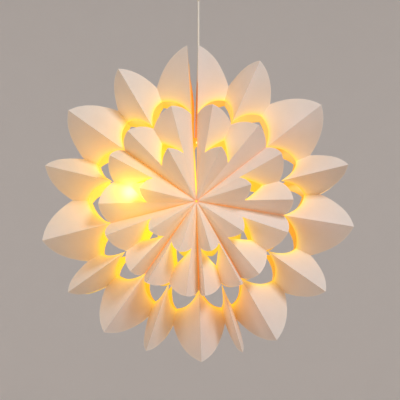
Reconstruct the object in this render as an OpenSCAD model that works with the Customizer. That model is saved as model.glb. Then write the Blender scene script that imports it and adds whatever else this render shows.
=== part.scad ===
// Folded paper star lantern: eight pleated paper cells glued wall to wall round one
// axis, open by a narrow gap at the top where the lamp cord comes down to the lamp inside.
// The star's axis lies along Y, its front faces -Y, and the bore of the hanging eye is the origin.

/* [Cells] */
// Angle of the first end wall, clockwise from straight up, seen from the front
first_wall = 0.7; // [0.5:0.1:1]
// How far each cell is pulled open, in degrees, clockwise from the first end wall
cell_opening = [51.6, 47, 50.8, 28.1, 36.9, 40.6, 49.8, 51.1]; // [26:0.1:52]
// How far the middle fold of each cell leans from the cell's middle, in degrees
fold_lean = [-2.2, 0.7, 0.4, -1.1, 1.9, -0.8, 2.8, -1.5]; // [-3:0.1:3]

/* [Paper] */
// Thickness of the folded paper
paper_t = 0.4; // [0.3:0.05:0.6]
// Depth of the cell walls, from the front seam to the rear seam
wall_depth = 134; // [126:1:150]
// Angle in the flat sheet between a seam and the next crest
side_angle = 17.2; // [16.5:0.1:18]
// Angle in the flat sheet between a crest and the middle fold
face_angle = 20.2; // [19.5:0.1:21]
// Smallest distance from the centre at which the sheets start, which leaves a pinhole
pinhole_r = 2.5; // [2.4:0.1:4]

/* [Outer petals] */
// Distance from the centre to the petal tips on the seams
seam_tip_r = 251; // [245:1:265]
// How much nearer the centre the petal tips on the middle folds lie than those on the seams
middle_tip_in = 4; // [0:0.5:8]
// Distance from the centre to the notches between the outer petals
notch_r = 207; // [202:1:215]
// How much the sides of the outer petals bow outwards, as a share of their length
petal_bow = 0.11; // [0.05:0.01:0.14]
// Distance from the centre to the notch at the end of each wall
wall_notch_r = 199; // [190:1:210]

/* [Middle petals] */
// Distance from the centre to the tips of the middle petals, on the crests
crest_tip_r = 155; // [150:1:160]
// Distance from the centre at which the middle petals end on the seams
crest_seam_r = 139; // [136:1:142]
// Distance from the centre at which the middle petals end on the middle folds
crest_fold_r = 134; // [132:1:138]
// Length of the paper neck that joins middle and outer petals on the middle folds
neck_l = 3; // [2:0.5:4]
// Distance from the centre to the tips of the crescent openings under the middle petals
crescent_r = 180; // [172:1:186]

/* [Inner petals] */
// Distance from the centre at which the inner slits end on the crests
slit_crest_r = 78; // [72:1:84]
// Distance from the centre to the tips of the inner petals
inner_tip_r = 101; // [97:1:104]
// Distance from the centre to the slit's edge in the sheet behind, on the middle fold
slit_fold_r = 106; // [105:1:112]
// How much the edges of the middle and inner petals bow outwards, as a share of their length
inner_bow = 0.13; // [0.05:0.01:0.16]

/* [Lamp] */
// Diameter of the round lamp windows in the cell walls
window_d = 42; // [38:1:46]
// Distance of the lamp windows from the centre
window_r = 76; // [74:1:78]
// Distance of the bulb's globe from the centre
bulb_r = 106; // [104:1:108]
// Direction of the bulb's globe from the centre, clockwise from straight up
bulb_angle = 277.6; // [275:0.1:280]
// Tilt of the lamp's axis from straight up
lamp_tilt = 55; // [53:0.5:57]
// Diameter of the bulb's globe
globe_d = 45; // [40:1:48]
// Diameter of the bulb's screw cap
screw_d = 13.6; // [13:0.1:14]
// Length of the bulb's screw cap
screw_l = 17; // [15:0.5:18]
// Outer diameter of the lamp holder
holder_d = 28; // [26:0.5:30]
// Wall of the lamp holder
holder_wall = 2; // [1.5:0.1:2.5]
// Running clearance between the lamp's parts
lamp_gap = 0.2; // [0.15:0.05:0.3]

/* [Hanging] */
// Diameter of the lamp cord
cord_d = 3; // [2.6:0.1:3.4]
// Height of the hanging bar above the centre of the star
bar_height = 104; // [103:0.5:106]
// Diameter of the hanging bar
bar_d = 2.4; // [2:0.1:3]
// Length of the hanging bar
bar_l = 30; // [24:1:36]
// Diameter of the punched holes that the hanging bar passes through
punch_d = 6; // [5:0.1:7]
// Width of the cord grip across the gap
grip_w = 5.2; // [5:0.1:5.6]
// Height of the cord grip
grip_l = 14; // [12:1:16]
// Diameter of the hanging eye's bore
eye_bore_d = 8; // [6:0.5:10]
// Width of the rim round the hanging eye's bore
eye_rim = 3.5; // [3:0.5:5]
// Thickness of the hanging eye
eye_t = 4; // [3.5:0.5:6]
// Height of the hanging eye's bore above the centre of the star
eye_height = 366; // [366:1:372]

/* [Hidden] */

paper_white = [0.96, 0.9, 0.84];
edge_steps = 6;
neck_share = 0.035;
// Shares of a facet's width at which its points lie, the last but one at the edge of the neck
across = concat([for (j = [0:edge_steps - 1]) j / edge_steps], [1 - neck_share, 1]);
row_n = len(across);
cut_over = 1;
cells = len(cell_opening);
middle_tip_r = seam_tip_r - middle_tip_in;

// The cord's route through its centre line, [x, z] from the centre of the star, from the
// lamp holder up through the gap, and the straight stretch to the hanging eye above it
cord_route = [
    [-44, 56.8], [-40, 59.6], [-36, 62.4], [-30, 66.6], [-23, 71.6], [-17, 76.4], [-12, 81.2],
    [-8, 86.6], [-5, 92], [-3.5, 97], [-2.8, 102], [-2.4, 108], [-2.2, 115], [-1.6, 140],
    [-0.8, 170], [0.3, 200], [1.4, 225], [2, 245], [2, 275], [2, 310], [2, 340], [2, 354]
];
cord_steps = 3;
cord_sides = 8;
eye_x = cord_route[len(cord_route) - 1][0];
cord_top = cord_route[len(cord_route) - 1][1];

// The cord grip's and hanging bar's place in the gap, and how close the bar is to the rim
// of its punched holes
grip_x = -2.7;
bar_y = 5.4;
punch_rest = 0.2;
punch_r = bar_height + bar_d / 2 + punch_rest - punch_d / 2;

// The bulb: its neck and collar as shares of the globe, the collar's rim and the contact tip
neck_place = 0.4;
neck_width = 0.6;
neck_step = 1;
collar_place = 0.72;
collar_rim = 2;
collar_h = 2;
tip_h = 3;
tip_d = 6;

// The holder: its mouth, thread, contact disc with two pillars, cap and gland
mouth_lap = 1;
thread_room = 0.7;
base_h = 5;
pillar_d = 5;
pillar_h = 3.2;
cap_spigot_h = 5;
cap_h = 8;
shoulder_w = 3;
gland_l = 6;
gland_wall = 2;

// The ferrule under the hanging eye
ferrule_l = 22;
ferrule_wall = 1.5;
ferrule_end = 1.5;

// Sum of the first n values of a list
function sum_first(v, n) = n == 0 ? 0 : v[n - 1] + sum_first(v, n - 1);
function unit(v) = v / norm(v);

// Directions in the star's plane, at an angle clockwise from straight up
function radial(a) = [sin(a), 0, cos(a)];
function wall_angle(i) = first_wall + sum_first(cell_opening, i);
function fold_angle(i) = (wall_angle(i) + wall_angle(i + 1)) / 2 + fold_lean[i];

// The direction that makes angle ap with p and angle aq with q, on the front or rear side
function crease_between(p, q, ap, aq, side) =
    let (
        c = p * q,
        k = 1 - c * c,
        flat = p * (cos(ap) - cos(aq) * c) / k + q * (cos(aq) - cos(ap) * c) / k
    )
    flat + [0, side * sqrt(1 - flat * flat), 0];

// The middle fold flipped to the front over the plane of two crests
function flipped(m, p, q) = let (n = unit(cross(p, q))) m - 2 * (m * n) * n;

// All sheets of a cell meet half a paper thickness inside both of its wall planes
function cell_centre(i) =
    radial((wall_angle(i) + wall_angle(i + 1)) / 2) * paper_t / 2 / sin(cell_opening[i] / 2);

// The offset that keeps two folded faces one thickness apart from their middle, at their crease
function mitre(n1, n2) = (n1 + n2) / (1 + n1 * n2);
function halfway(v1, v2) = (v1 + v2) / 2;

function polar(r, a) = [r * cos(a), r * sin(a)];
// Point at share s of a cut edge from p to q that bows outwards by a share of its length
function cut_point(p, q, bow, s) =
    p + (q - p) * s + [q[1] - p[1], p[0] - q[0]] * 4 * bow * s * (1 - s);

// One row of points over the facet between creases p and q, which are w degrees apart in the
// flat sheet: from radius rp on p to radius rq on q, bowing outwards
function row(centre, p, q, w, rp, rq, bow) =
    let (e = unit(cross(cross(p, q), p)))
    [
        for (s = across)
            let (c = cut_point(polar(rp, 0), polar(rq, w), bow, s))
            centre + c[0] * p + c[1] * e
    ];

// A row's offsets: the two creases have their own, the facet between them has its normal
function row_offsets(first, normal, last) =
    [for (j = [0:row_n - 1]) j == 0 ? first : j == row_n - 1 ? last : normal];

// The creases of one half of a cell's front sheet: seam, crest, inner fold, valley, middle fold.
// The inner and middle tiers crest to the front of the seams, the outer tier folds the other way.
function creases(i, half) =
    let (
        seams = [radial(wall_angle(i)), radial(wall_angle(i + 1))],
        fold = radial(fold_angle(i)),
        crests = [for (s = seams) crease_between(s, fold, side_angle, face_angle, -1)]
    )
    [
        seams[half], crests[half], flipped(fold, crests[0], crests[1]),
        crease_between(seams[half], fold, face_angle, side_angle, 1), fold
    ];

// Outward normals of a half's facets: side, inner, middle, outer side, outer middle, and wall
function facet_normals(i, half) =
    let (k = creases(i, half), turn = half == 0 ? -1 : 1)
    [
        turn * unit(cross(k[0], k[1])), turn * unit(cross(k[1], k[2])),
        turn * unit(cross(k[1], k[4])), turn * unit(cross(k[0], k[3])),
        turn * unit(cross(k[3], k[4])), turn * [k[0][2], 0, -k[0][0]]
    ];

// The rows of one half, tier by tier, from the seam to the middle fold
function half_rows(i, half) =
    let (
        c = cell_centre(i) - [0, wall_depth / 2, 0],
        k = creases(i, half)
    )
    [
        row(c, k[0], k[1], side_angle, pinhole_r, pinhole_r, 0),
        row(c, k[0], k[1], side_angle, slit_crest_r, slit_crest_r, 0),
        row(c, k[0], k[1], side_angle, crest_seam_r, crest_tip_r, inner_bow),
        row(c, k[1], k[2], face_angle, pinhole_r, pinhole_r, 0),
        row(c, k[1], k[2], face_angle, slit_crest_r, inner_tip_r, inner_bow),
        row(c, k[1], k[4], face_angle, slit_crest_r, slit_fold_r, inner_bow),
        row(c, k[1], k[4], face_angle, crest_tip_r, crest_fold_r, inner_bow),
        row(c, k[0], k[3], face_angle, crest_seam_r, crescent_r, inner_bow),
        row(c, k[0], k[3], face_angle, seam_tip_r, notch_r, petal_bow),
        row(c, k[3], k[4], side_angle, crescent_r, crest_fold_r + neck_l, inner_bow),
        row(c, k[3], k[4], side_angle, notch_r, middle_tip_r, petal_bow)
    ];

// The offset of each of those points from the middle of the paper, for a thickness of 2
function half_offsets(i, half) =
    let (
        n = facet_normals(i, half),
        o = facet_normals(i, 1 - half),
        wall_side = mitre(n[5], n[0]),
        wall_outer = mitre(n[5], n[3]),
        side_inner = mitre(n[0], n[1]),
        side_middle = mitre(n[0], n[2]),
        outer = mitre(n[3], n[4])
    )
    [
        row_offsets(wall_side, n[0], side_inner),
        row_offsets(wall_side, n[0], halfway(side_inner, side_middle)),
        row_offsets(halfway(wall_side, wall_outer), n[0], side_middle),
        row_offsets(side_inner, n[1], mitre(n[1], o[1])),
        row_offsets(side_inner, n[1], mitre(n[1], o[1])),
        row_offsets(side_inner, n[2], mitre(n[2], o[2])),
        row_offsets(side_middle, n[2], mitre(n[2], o[2])),
        row_offsets(wall_outer, n[3], outer),
        row_offsets(wall_outer, n[3], outer),
        row_offsets(outer, n[4], mitre(n[4], o[4])),
        row_offsets(outer, n[4], mitre(n[4], o[4]))
    ];

// The point that a row shares at its crease with another row of its half, [row, place]
row_starts = [
    [0, 0], [1, 0], [2, 0], [0, row_n - 1], [1, row_n - 1], [1, row_n - 1], [2, row_n - 1],
    [2, 0], [8, 0], [7, row_n - 1], [8, row_n - 1]
];
rows_at_fold = [3, 4, 5, 6, 9, 10];
half_n = 11 * row_n;

// Number of a point: quarter 0 and 1 are the front's halves, 2 and 3 the back's
function number(quarter, r, j) =
    let (
        start = j == 0 ? row_starts[r] : [r, j],
        shared = start[1] == row_n - 1 && len(search(start[0], rows_at_fold)) > 0
    )
    (shared ? quarter - quarter % 2 : quarter) * half_n + start[0] * row_n + start[1];

// Triangles of a quarter: strips between its rows, and the neck from middle to outer petals
function strip(quarter, r0, r1, first, last) = [
    for (j = [first:last])
        let (
            q = [number(quarter, r0, j), number(quarter, r0, j + 1),
                 number(quarter, r1, j + 1), number(quarter, r1, j)]
        )
        for (t = [[q[0], q[1], q[2]], [q[0], q[2], q[3]]])
            quarter == 1 || quarter == 2 ? t : [t[2], t[1], t[0]]
];
function quarter_faces(quarter) = concat(
    strip(quarter, 0, 1, 0, row_n - 2), strip(quarter, 1, 2, 0, row_n - 2),
    strip(quarter, 3, 4, 0, row_n - 2), strip(quarter, 5, 6, 0, row_n - 2),
    strip(quarter, 7, 8, 0, row_n - 2), strip(quarter, 9, 10, 0, row_n - 2),
    strip(quarter, 6, 9, row_n - 2, row_n - 2)
);

// A wall's swallow-tailed end, between its front and rear petal tips
function wall_end(i, half) =
    let (
        k = creases(i, half)[0],
        front = [for (s = [1:edge_steps]) cut_point([seam_tip_r, -wall_depth / 2], [wall_notch_r, 0],
            petal_bow, s / edge_steps)],
        rear = [for (s = [edge_steps - 1:-1:1]) [front[s - 1][0], -front[s - 1][1]]]
    )
    [for (c = concat(front, rear)) cell_centre(i) + c[0] * k + [0, c[1], 0]];
end_n = 2 * edge_steps - 1;
function wall_face(half) =
    let (
        front = [for (r = [0, 1, 2, 8]) number(half, r, 0)],
        end = [for (j = [0:end_n - 1]) 4 * half_n + half * end_n + j],
        rear = [for (r = [8, 2, 1, 0]) number(half + 2, r, 0)],
        face = concat(front, end, rear)
    )
    half == 1 ? face : [for (j = [len(face) - 1:-1:0]) face[j]];

function mirrored(rows) = [for (v = rows) [v[0], -v[1], v[2]]];
function joined(rows) = [for (r = rows) for (v = r) v];

// The whole cell as one sheet, folded and thickened, its cut edges closed by rims
module folded_sheet(i) {
    a = joined(half_rows(i, 0));
    b = joined(half_rows(i, 1));
    oa = joined(half_offsets(i, 0));
    ob = joined(half_offsets(i, 1));
    middle = concat(a, b, mirrored(a), mirrored(b), wall_end(i, 0), wall_end(i, 1));
    offsets = concat(oa, ob, mirrored(oa), mirrored(ob),
        [for (j = [1:end_n]) facet_normals(i, 0)[5]], [for (j = [1:end_n]) facet_normals(i, 1)[5]]);
    n = len(middle);
    faces = concat(
        quarter_faces(0), quarter_faces(1), quarter_faces(2), quarter_faces(3),
        [wall_face(0)], [wall_face(1)]
    );
    edges = [for (f = faces) for (j = [0:len(f) - 1]) [f[j], f[(j + 1) % len(f)]]];
    keys = [for (e = edges) e[0] * n + e[1]];
    rims = [for (e = edges) if (len(search(e[1] * n + e[0], keys)) == 0) e];
    polyhedron(
        points = concat(
            [for (j = [0:n - 1]) middle[j] + offsets[j] * paper_t / 2],
            [for (j = [0:n - 1]) middle[j] - offsets[j] * paper_t / 2]
        ),
        faces = concat(
            faces,
            [for (f = faces) [for (j = [len(f) - 1:-1:0]) f[j] + n]],
            [for (e = rims) [e[1], e[0], e[0] + n]],
            [for (e = rims) [e[1], e[0] + n, e[1] + n]]
        ),
        convexity = 12
    );
}

// A round hole through one wall, at a distance from the star's axis
module wall_hole(i, half, r, y, d) {
    k = creases(i, half)[0];
    translate(cell_centre(i) + r * k + [0, y, 0])
    rotate([0, 90 + wall_angle(i + half), 0])
    cylinder(d = d, h = 2 * cut_over, center = true, $fn = 28);
}

module paper_cell(i) {
    color(paper_white)
    in_place()
    difference() {
        folded_sheet(i);
        wall_hole(i, 0, window_r, 0, window_d);
        wall_hole(i, 1, window_r, 0, window_d);
        if (i == 0) wall_hole(i, 0, punch_r, bar_y, punch_d);
        if (i == cells - 1) wall_hole(i, 1, punch_r, bar_y, punch_d);
    }
}

// Everything is drawn from the star's centre and then moved to hang from the eye
module in_place() {
    translate([-eye_x, 0, -eye_height]) children();
}

// The lamp's own axis, from the globe's centre towards the holder's cap
module on_lamp_axis() {
    in_place()
    translate(bulb_r * radial(bulb_angle))
    rotate([0, lamp_tilt, 0])
    children();
}

// The bulb's neck and collar, placed and sized by its globe and its screw cap
neck_z = globe_d * neck_place;
neck_d = globe_d * neck_width;
collar_z = globe_d * collar_place;
collar_d = screw_d + 2 * collar_rim;
screw_z = collar_z + collar_h;
tip_z = screw_z + screw_l;

// The holder, from its mouth round the collar to the gland behind its cap
base_z = tip_z + tip_h + lamp_gap;
sleeve_z = collar_z - mouth_lap;
sleeve_bore_d = screw_d + 2 * thread_room;
seat_d = holder_d - 2 * holder_wall;
disc_d = seat_d - 2 * lamp_gap;
cap_z = base_z + base_h + lamp_gap;
sleeve_end = cap_z + cap_spigot_h;
rim_z = sleeve_end + lamp_gap;
gland_d = cord_d + 2 * gland_wall;
lead_bore_d = cord_d + lamp_gap;

// Sealed opal bulb with its metal screw cap
module lamp_bulb() {
    color([1, 0.93, 0.72])
    on_lamp_axis() {
        sphere(d = globe_d, $fn = 48);
        translate([0, 0, neck_z])
            cylinder(d1 = neck_d, d2 = collar_d - neck_step, h = collar_z - neck_z, $fn = 48);
        translate([0, 0, collar_z]) cylinder(d = collar_d, h = collar_h, $fn = 40);
        translate([0, 0, screw_z]) cylinder(d = screw_d, h = screw_l, $fn = 40);
        translate([0, 0, tip_z]) cylinder(d = tip_d, h = tip_h, $fn = 24);
    }
}

// White holder sleeve: a flared mouth for the collar, the screw bore and the seat for the base
module holder_sleeve() {
    color("white")
    on_lamp_axis()
    difference() {
        translate([0, 0, sleeve_z]) cylinder(d = holder_d, h = sleeve_end - sleeve_z, $fn = 48);
        translate([0, 0, sleeve_z - cut_over])
            cylinder(d = collar_d + 2 * lamp_gap, h = screw_z + lamp_gap - sleeve_z + cut_over, $fn = 48);
        translate([0, 0, sleeve_z])
            cylinder(d = sleeve_bore_d, h = base_z - sleeve_z + cut_over, $fn = 48);
        translate([0, 0, base_z - lamp_gap])
            cylinder(d = seat_d, h = sleeve_end - base_z + lamp_gap + cut_over, $fn = 48);
    }
}

// Insulating disc that carries the contacts, with the two screw pillars behind it
module contact_base() {
    color([0.85, 0.82, 0.75])
    on_lamp_axis() {
        translate([0, 0, base_z]) cylinder(d = disc_d, h = base_h, $fn = 48);
        for (side = [-1, 1])
            translate([0, side * seat_d / 4, base_z + base_h - cut_over])
                cylinder(d = pillar_d, h = cut_over + pillar_h, $fn = 24);
    }
}

// Cap that closes the holder, with a hollow for the pillars and a gland for the cord
module holder_cap() {
    color("white")
    on_lamp_axis()
    difference() {
        union() {
            translate([0, 0, cap_z]) cylinder(d = disc_d, h = cap_spigot_h + cut_over, $fn = 48);
            translate([0, 0, rim_z]) cylinder(d = holder_d, h = cap_h / 2, $fn = 48);
            translate([0, 0, rim_z + cap_h / 2])
                cylinder(d1 = holder_d, d2 = gland_d + 2 * shoulder_w, h = cap_h / 2, $fn = 48);
            translate([0, 0, sleeve_end + cap_h])
                cylinder(d = gland_d, h = gland_l + lamp_gap, $fn = 32);
        }
        translate([0, 0, cap_z - cut_over])
            cylinder(d = disc_d - 2 * holder_wall, h = cap_spigot_h + cut_over, $fn = 48);
        translate([0, 0, cap_z])
            cylinder(d = lead_bore_d, h = cap_h + cap_spigot_h + gland_l + cut_over, $fn = 24);
    }
}

// Bar through the punched holes of both end walls, which carries the star
module hanging_bar() {
    color([0.8, 0.76, 0.68])
    in_place()
    translate([grip_x, bar_y, bar_height])
    rotate([0, 90, 0])
    cylinder(d = bar_d, h = bar_l, center = true, $fn = 24);
}

// Grip that is clamped on the cord and sits on the hanging bar
module cord_grip() {
    color("white")
    in_place()
    translate([grip_x, 0, bar_height])
    difference() {
        union() {
            cylinder(d = grip_w, h = grip_l, center = true, $fn = 32);
            translate([0, bar_y, 0]) cylinder(d = grip_w, h = grip_l, center = true, $fn = 32);
            translate([0, bar_y / 2, 0]) cube([grip_w, bar_y, grip_l], center = true);
        }
        cylinder(d = cord_d + 2 * lamp_gap, h = grip_l + 2 * cut_over, center = true, $fn = 24);
        translate([0, bar_y, 0]) rotate([0, 90, 0])
            cylinder(d = bar_d + 2 * lamp_gap, h = grip_w + 2 * cut_over, center = true, $fn = 24);
    }
}

// A smooth curve through the route's points, as positions and headings
function route_point(k, s) =
    let (
        last = len(cord_route) - 1,
        p0 = cord_route[max(k - 1, 0)],
        p1 = cord_route[k],
        p2 = cord_route[k + 1],
        p3 = cord_route[min(k + 2, last)]
    )
    0.5 * (2 * p1 + (p2 - p0) * s + (2 * p0 - 5 * p1 + 4 * p2 - p3) * s * s
        + (3 * p1 - p0 - 3 * p2 + p3) * s * s * s);
cord_line = concat(
    [for (k = [0:len(cord_route) - 2]) for (j = [0:cord_steps - 1]) route_point(k, j / cord_steps)],
    [cord_route[len(cord_route) - 1]]
);
function heading(k) = unit(cord_line[min(k + 1, len(cord_line) - 1)] - cord_line[max(k - 1, 0)]);

// The lamp cord, swept along its route
module lamp_cord() {
    n = len(cord_line);
    color([0.95, 0.92, 0.86])
    in_place()
    polyhedron(
        points = [for (k = [0:n - 1]) for (j = [0:cord_sides - 1])
            let (
                h = heading(k),
                a = 360 * j / cord_sides,
                side = cord_d / 2 * cos(a)
            )
            [cord_line[k][0] + h[1] * side, cord_d / 2 * sin(a), cord_line[k][1] - h[0] * side]],
        faces = concat(
            [[for (j = [0:cord_sides - 1]) j]],
            [for (k = [0:n - 2]) for (j = [0:cord_sides - 1])
                let (i = (j + 1) % cord_sides)
                [k * cord_sides + i, k * cord_sides + j,
                 (k + 1) * cord_sides + j, (k + 1) * cord_sides + i]],
            [[for (j = [cord_sides - 1:-1:0]) (n - 1) * cord_sides + j]]
        ),
        convexity = 6
    );
}

eye_d = eye_bore_d + 2 * eye_rim;
eye_foot = eye_height - ferrule_l;
ferrule_d = cord_d + 2 * ferrule_wall;

// Moulded eye on the cord's upper end, with a blind ferrule that the cord is set in
module hanging_eye() {
    color("white")
    in_place()
    difference() {
        union() {
            translate([eye_x, 0, eye_height]) rotate([90, 0, 0])
                cylinder(d = eye_d, h = eye_t, center = true, $fn = 40);
            translate([eye_x, 0, eye_foot])
                cylinder(d = ferrule_d, h = ferrule_l - eye_bore_d / 2 - ferrule_end, $fn = 32);
        }
        translate([eye_x, 0, eye_height]) rotate([90, 0, 0])
            cylinder(d = eye_bore_d, h = eye_t + ferrule_d + 2 * cut_over, center = true, $fn = 40);
        translate([eye_x, 0, eye_foot - cut_over])
            cylinder(d = lead_bore_d, h = cord_top - eye_foot + cut_over, $fn = 24);
    }
}

paper_cell(0);  // paper_cell_1
paper_cell(1);  // paper_cell_2
paper_cell(2);  // paper_cell_3
paper_cell(3);  // paper_cell_4
paper_cell(4);  // paper_cell_5
paper_cell(5);  // paper_cell_6
paper_cell(6);  // paper_cell_7
paper_cell(7);  // paper_cell_8
lamp_bulb();
holder_sleeve();
contact_base();
holder_cap();
hanging_bar();
cord_grip();
lamp_cord();
hanging_eye();
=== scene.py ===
import math

import bmesh
import bpy
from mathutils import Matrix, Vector


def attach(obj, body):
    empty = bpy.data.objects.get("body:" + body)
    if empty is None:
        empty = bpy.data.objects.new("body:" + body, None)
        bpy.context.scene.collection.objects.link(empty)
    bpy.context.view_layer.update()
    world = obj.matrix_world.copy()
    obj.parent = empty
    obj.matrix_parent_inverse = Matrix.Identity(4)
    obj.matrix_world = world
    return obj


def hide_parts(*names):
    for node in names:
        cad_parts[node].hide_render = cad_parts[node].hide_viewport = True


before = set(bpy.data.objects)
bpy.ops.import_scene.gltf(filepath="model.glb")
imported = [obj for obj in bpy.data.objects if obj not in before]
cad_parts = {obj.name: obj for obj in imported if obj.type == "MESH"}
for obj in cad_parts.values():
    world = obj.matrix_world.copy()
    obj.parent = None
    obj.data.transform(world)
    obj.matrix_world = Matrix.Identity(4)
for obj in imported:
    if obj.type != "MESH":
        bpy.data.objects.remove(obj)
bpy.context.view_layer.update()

# The star hangs 366 mm below its eye, straight under it but for 2 mm, with its front seams
# 67 mm before its middle plane. The camera stands 1.6 m in front of that, a little below and
# to the right of the star, and looks slightly up at it.
STAR_CENTRE = Vector((-0.002, 0.0, -0.366))
WALL_DEPTH = 0.134
CAMERA_DISTANCE = 1.6
CAMERA_BELOW = math.radians(5.0)
CAMERA_RIGHT = math.radians(1.2)
IMAGE_PIXELS = 400
PIXEL_AT_STAR = 0.001582
STAR_LEFT_PIXELS = 3.6
STAR_LOW_PIXELS = 1.2


def set_up_camera():
    front = STAR_CENTRE + Vector((0.0, -WALL_DEPTH / 2, 0.0))
    level = math.cos(CAMERA_BELOW)
    sideways, forwards = math.sin(CAMERA_RIGHT), math.cos(CAMERA_RIGHT)
    back = Vector((sideways * level, -forwards * level, -math.sin(CAMERA_BELOW)))
    aim = front + Vector((STAR_LEFT_PIXELS, 0.0, STAR_LOW_PIXELS)) * PIXEL_AT_STAR
    data = bpy.data.cameras.new("photo_camera")
    data.sensor_width = 36.0
    data.lens = data.sensor_width * CAMERA_DISTANCE / (IMAGE_PIXELS * PIXEL_AT_STAR)
    data.clip_start, data.clip_end = 0.05, 40.0
    camera = bpy.data.objects.new("photo_camera", data)
    camera.location = front + back * CAMERA_DISTANCE
    camera.rotation_euler = (aim - camera.location).to_track_quat("-Z", "Y").to_euler()
    bpy.context.collection.objects.link(camera)
    bpy.context.scene.camera = camera


set_up_camera()


# The lamp cord: a thin round cream-white lead, 3 mm across, whose smooth sleeve shows fine
# draw marks. It runs from the lamp holder through the cells' windows and the gap between the
# end walls, and then straight up, taut, to the hanging eye.
CORD_DIAMETER = 0.003
CORD_ROUTE = [
    (-44, 56.8), (-40, 59.6), (-36, 62.4), (-30, 66.6), (-23, 71.6), (-17, 76.4), (-12, 81.2),
    (-8, 86.6), (-5, 92), (-3.5, 97), (-2.8, 102), (-2.4, 108), (-2.2, 115), (-1.6, 140),
    (-0.8, 170), (0.3, 200), (1.4, 225), (2, 245), (2, 275), (2, 310), (2, 340), (2, 354),
]
CORD_STEPS = 3
CORD_SIDES = 16


def new_material(name, base, roughness):
    material = bpy.data.materials.new(name)
    material.use_nodes = True
    shader = material.node_tree.nodes["Principled BSDF"]
    shader.inputs["Base Color"].default_value = (*base, 1.0)
    shader.inputs["Roughness"].default_value = roughness
    return material


def new_group(name, inputs, outputs):
    """A shader node group with float and colour sockets, and its input and output nodes."""
    group = bpy.data.node_groups.new(name, "ShaderNodeTree")
    for label, kind, value in inputs:
        socket = group.interface.new_socket(label, in_out="INPUT", socket_type=kind)
        socket.default_value = value
    for label, kind in outputs:
        group.interface.new_socket(label, in_out="OUTPUT", socket_type=kind)
    return group, group.nodes.new("NodeGroupInput"), group.nodes.new("NodeGroupOutput")


def smooth_route(points, steps):
    """The cord's smooth line through its route, in the star's upright plane, in metres."""
    flat = [Vector((x, 0.0, z)) / 1000 + STAR_CENTRE for x, z in points]
    line = []
    for k in range(len(flat) - 1):
        p0, p1 = flat[max(k - 1, 0)], flat[k]
        p2, p3 = flat[k + 1], flat[min(k + 2, len(flat) - 1)]
        for j in range(steps):
            s = j / steps
            line.append(0.5 * (2 * p1 + (p2 - p0) * s + (2 * p0 - 5 * p1 + 4 * p2 - p3) * s**2
                               + (3 * p1 - p0 - 3 * p2 + p3) * s**3))
    return line + [flat[-1]]


def swept_tube(name, line, radius, sides):
    """A closed round tube along a line in the XZ plane."""
    mesh = bmesh.new()
    rings = []
    for k, point in enumerate(line):
        ahead = (line[min(k + 1, len(line) - 1)] - line[max(k - 1, 0)]).normalized()
        across = Vector((ahead.z, 0.0, -ahead.x))
        ring = []
        for j in range(sides):
            turn = 2 * math.pi * j / sides
            outwards = math.cos(turn) * across + Vector((0, math.sin(turn), 0))
            ring.append(mesh.verts.new(point + radius * outwards))
        rings.append(ring)
    for low, high in zip(rings, rings[1:]):
        for j in range(sides):
            mesh.faces.new((low[j], low[(j + 1) % sides], high[(j + 1) % sides], high[j]))
    mesh.faces.new(rings[0])
    mesh.faces.new(rings[-1])
    bmesh.ops.recalc_face_normals(mesh, faces=mesh.faces)
    return object_from_bmesh(name, mesh, 40)


def object_from_bmesh(name, mesh, smooth_degrees):
    data = bpy.data.meshes.new(name)
    mesh.to_mesh(data)
    mesh.free()
    data.polygons.foreach_set("use_smooth", [True] * len(data.polygons))
    data.set_sharp_from_angle(angle=math.radians(smooth_degrees))
    piece = bpy.data.objects.new(name, data)
    bpy.context.collection.objects.link(piece)
    return piece


def cord_sleeve_material():
    material = new_material("cord_sleeve", (0.86, 0.82, 0.72), 0.45)
    nodes, links = material.node_tree.nodes, material.node_tree.links
    where = nodes.new("ShaderNodeTexCoord")
    stretch = nodes.new("ShaderNodeMapping")
    stretch.inputs["Scale"].default_value = (900.0, 900.0, 60.0)
    marks = nodes.new("ShaderNodeTexNoise")
    marks.inputs["Scale"].default_value = 1.0
    marks.inputs["Detail"].default_value = 3.0
    tone = nodes.new("ShaderNodeValToRGB")
    tone.color_ramp.elements[0].color = (0.78, 0.73, 0.62, 1.0)
    tone.color_ramp.elements[1].color = (0.92, 0.89, 0.81, 1.0)
    bump = nodes.new("ShaderNodeBump")
    bump.inputs["Strength"].default_value = 0.15
    bump.inputs["Distance"].default_value = 0.0002
    links.new(where.outputs["Object"], stretch.inputs["Vector"])
    links.new(stretch.outputs["Vector"], marks.inputs["Vector"])
    links.new(marks.outputs["Fac"], tone.inputs["Fac"])
    links.new(tone.outputs["Color"], nodes["Principled BSDF"].inputs["Base Color"])
    links.new(marks.outputs["Fac"], bump.inputs["Height"])
    links.new(bump.outputs["Normal"], nodes["Principled BSDF"].inputs["Normal"])
    return material


cord_line = smooth_route(CORD_ROUTE, CORD_STEPS)
cord_length = sum((b - a).length for a, b in zip(cord_line, cord_line[1:]))
lamp_cord = swept_tube("lamp_cord_lead", cord_line, CORD_DIAMETER / 2, CORD_SIDES)
lamp_cord.data.materials.append(cord_sleeve_material())
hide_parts("lamp_cord")
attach(lamp_cord, "root")
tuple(cord_line[0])


# The eight cells of the star: one sheet of white paper each, cut, pleated and glued into a
# tube with two radial walls, a front sheet and a back sheet that mirrors it. Slits let the
# inner, middle and outer tiers of petals fold opposite ways. Neighbours are glued wall to wall.
FIRST_WALL = 0.7
CELL_OPENING = [51.6, 47.0, 50.8, 28.1, 36.9, 40.6, 49.8, 51.1]
FOLD_LEAN = [-2.2, 0.7, 0.4, -1.1, 1.9, -0.8, 2.8, -1.5]
PAPER_THICKNESS = 0.0004
SIDE_ANGLE = 17.2
FACE_ANGLE = 20.2
PINHOLE_R = 0.0014
SEAM_TIP_R, MIDDLE_TIP_R, NOTCH_R, WALL_NOTCH_R = 0.251, 0.247, 0.207, 0.199
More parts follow.
